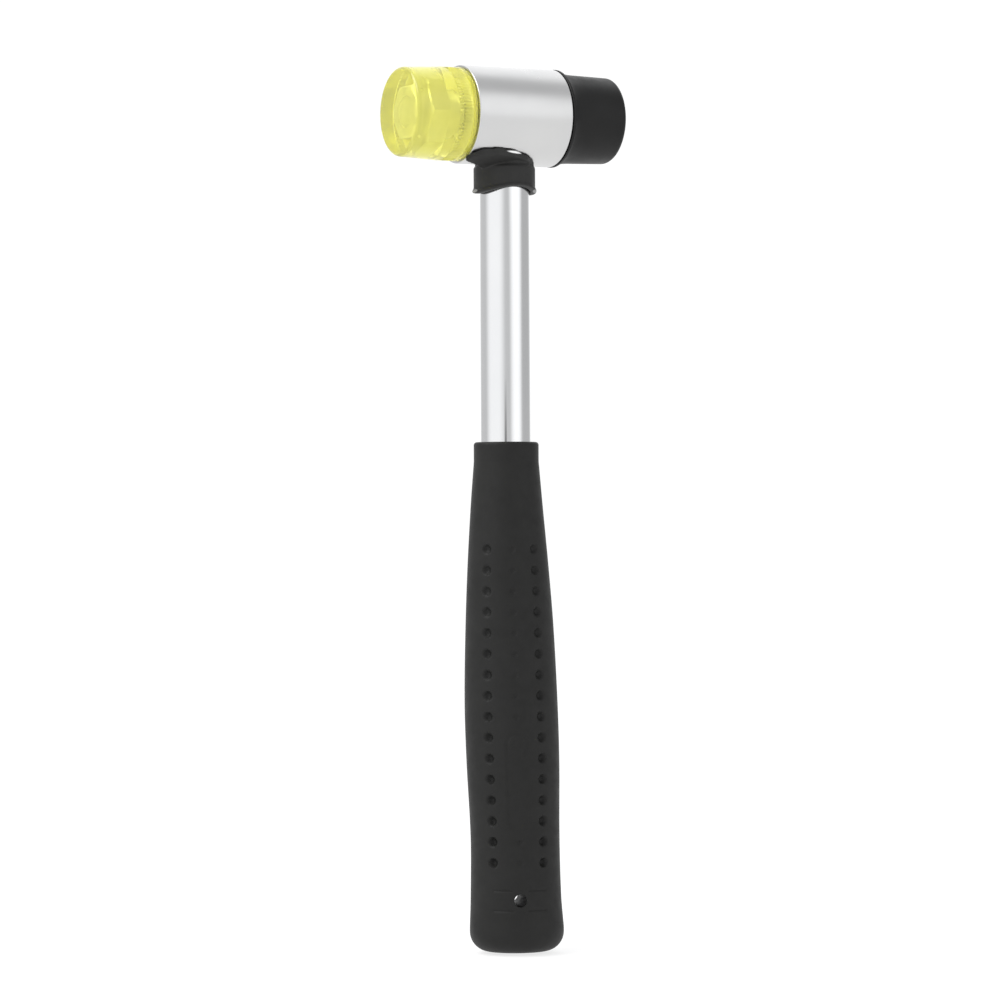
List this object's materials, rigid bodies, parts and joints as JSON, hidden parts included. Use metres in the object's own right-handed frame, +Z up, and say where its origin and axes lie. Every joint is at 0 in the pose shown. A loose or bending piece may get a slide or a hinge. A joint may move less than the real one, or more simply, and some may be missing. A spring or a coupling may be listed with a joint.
{
  "type": "dead blow mallet",
  "caption": "Small double-faced soft-face dead blow mallet with a steel barrel head, screw-in clear and black faces, tube handle and dimpled rubber grip.",
  "frame": {"origin": "on the ground under the middle of the head, at the end of the grip", "axes": "+Z up the handle to the head, +X from the yellow face to the black face, -Y the side the grip's front is nearest to"},
  "size_m": [0.0604, 0.0252, 0.2257],
  "materials": {
    "satin_nickel": "satin plated steel",
    "chrome": "polished chrome plate",
    "plug_steel": "machined steel",
    "zinc_steel": "zinc plated steel",
    "shot_steel": "bare steel",
    "yellow_resin": "clear yellow cellulose resin, moulded",
    "black_nylon": "moulded, slightly glossy",
    "black_rubber": "moulded, matte",
    "grip_rubber": "moulded, fine matte texture",
    "plug_plastic": "moulded"
  },
  "bodies": {
    "mallet": {"head_barrel": "satin_nickel", "left_end_plug": "plug_steel", "right_end_plug": "plug_steel", "handle_tube": "chrome", "tube_top_plug": "plug_steel", "tube_bottom_plug": "plug_plastic", "neck_boot": "black_rubber", "grip": "grip_rubber"},
    "yellow_face_carrier": {"yellow_face_washer": "zinc_steel"},
    "yellow_face": {"yellow_face": "yellow_resin", "yellow_face_bolt": "zinc_steel"},
    "black_face_carrier": {"black_face_washer": "zinc_steel"},
    "black_face": {"black_face": "black_nylon", "black_face_bolt": "zinc_steel"},
    "shot": {"shot_01": "shot_steel", "shot_02": "shot_steel", "shot_03": "shot_steel", "shot_04": "shot_steel", "shot_05": "shot_steel", "shot_06": "shot_steel", "shot_07": "shot_steel", "shot_08": "shot_steel", "shot_09": "shot_steel", "shot_10": "shot_steel", "shot_11": "shot_steel", "shot_12": "shot_steel", "shot_13": "shot_steel", "shot_14": "shot_steel", "shot_15": "shot_steel"}
  },
  "joints": [
    {"name": "yellow_face_travel", "type": "slide", "parent": "mallet", "child": "yellow_face_carrier", "axis": [-1, 0, 0], "range_m": [0, 0.005]},
    {"name": "yellow_face_turn", "type": "hinge", "parent": "yellow_face_carrier", "child": "yellow_face", "pos_m": [-0.01365, 0, 0.2132], "axis": [-1, 0, 0], "range_deg": [0, 1440]},
    {"name": "black_face_travel", "type": "slide", "parent": "mallet", "child": "black_face_carrier", "axis": [1, 0, 0], "range_m": [0, 0.005]},
    {"name": "black_face_turn", "type": "hinge", "parent": "black_face_carrier", "child": "black_face", "pos_m": [0.01365, 0, 0.2132], "axis": [1, 0, 0], "range_deg": [0, 1440]},
    {"name": "shot_slide", "type": "slide", "parent": "mallet", "child": "shot", "axis": [1, 0, 0], "range_m": [-0.001, 0.001]}
  ],
  "couplings": [
    {"joint": "yellow_face_travel", "follows": "yellow_face_turn", "m_per_rad": 0.00019894},
    {"joint": "black_face_travel", "follows": "black_face_turn", "m_per_rad": 0.00019894}
  ]
}
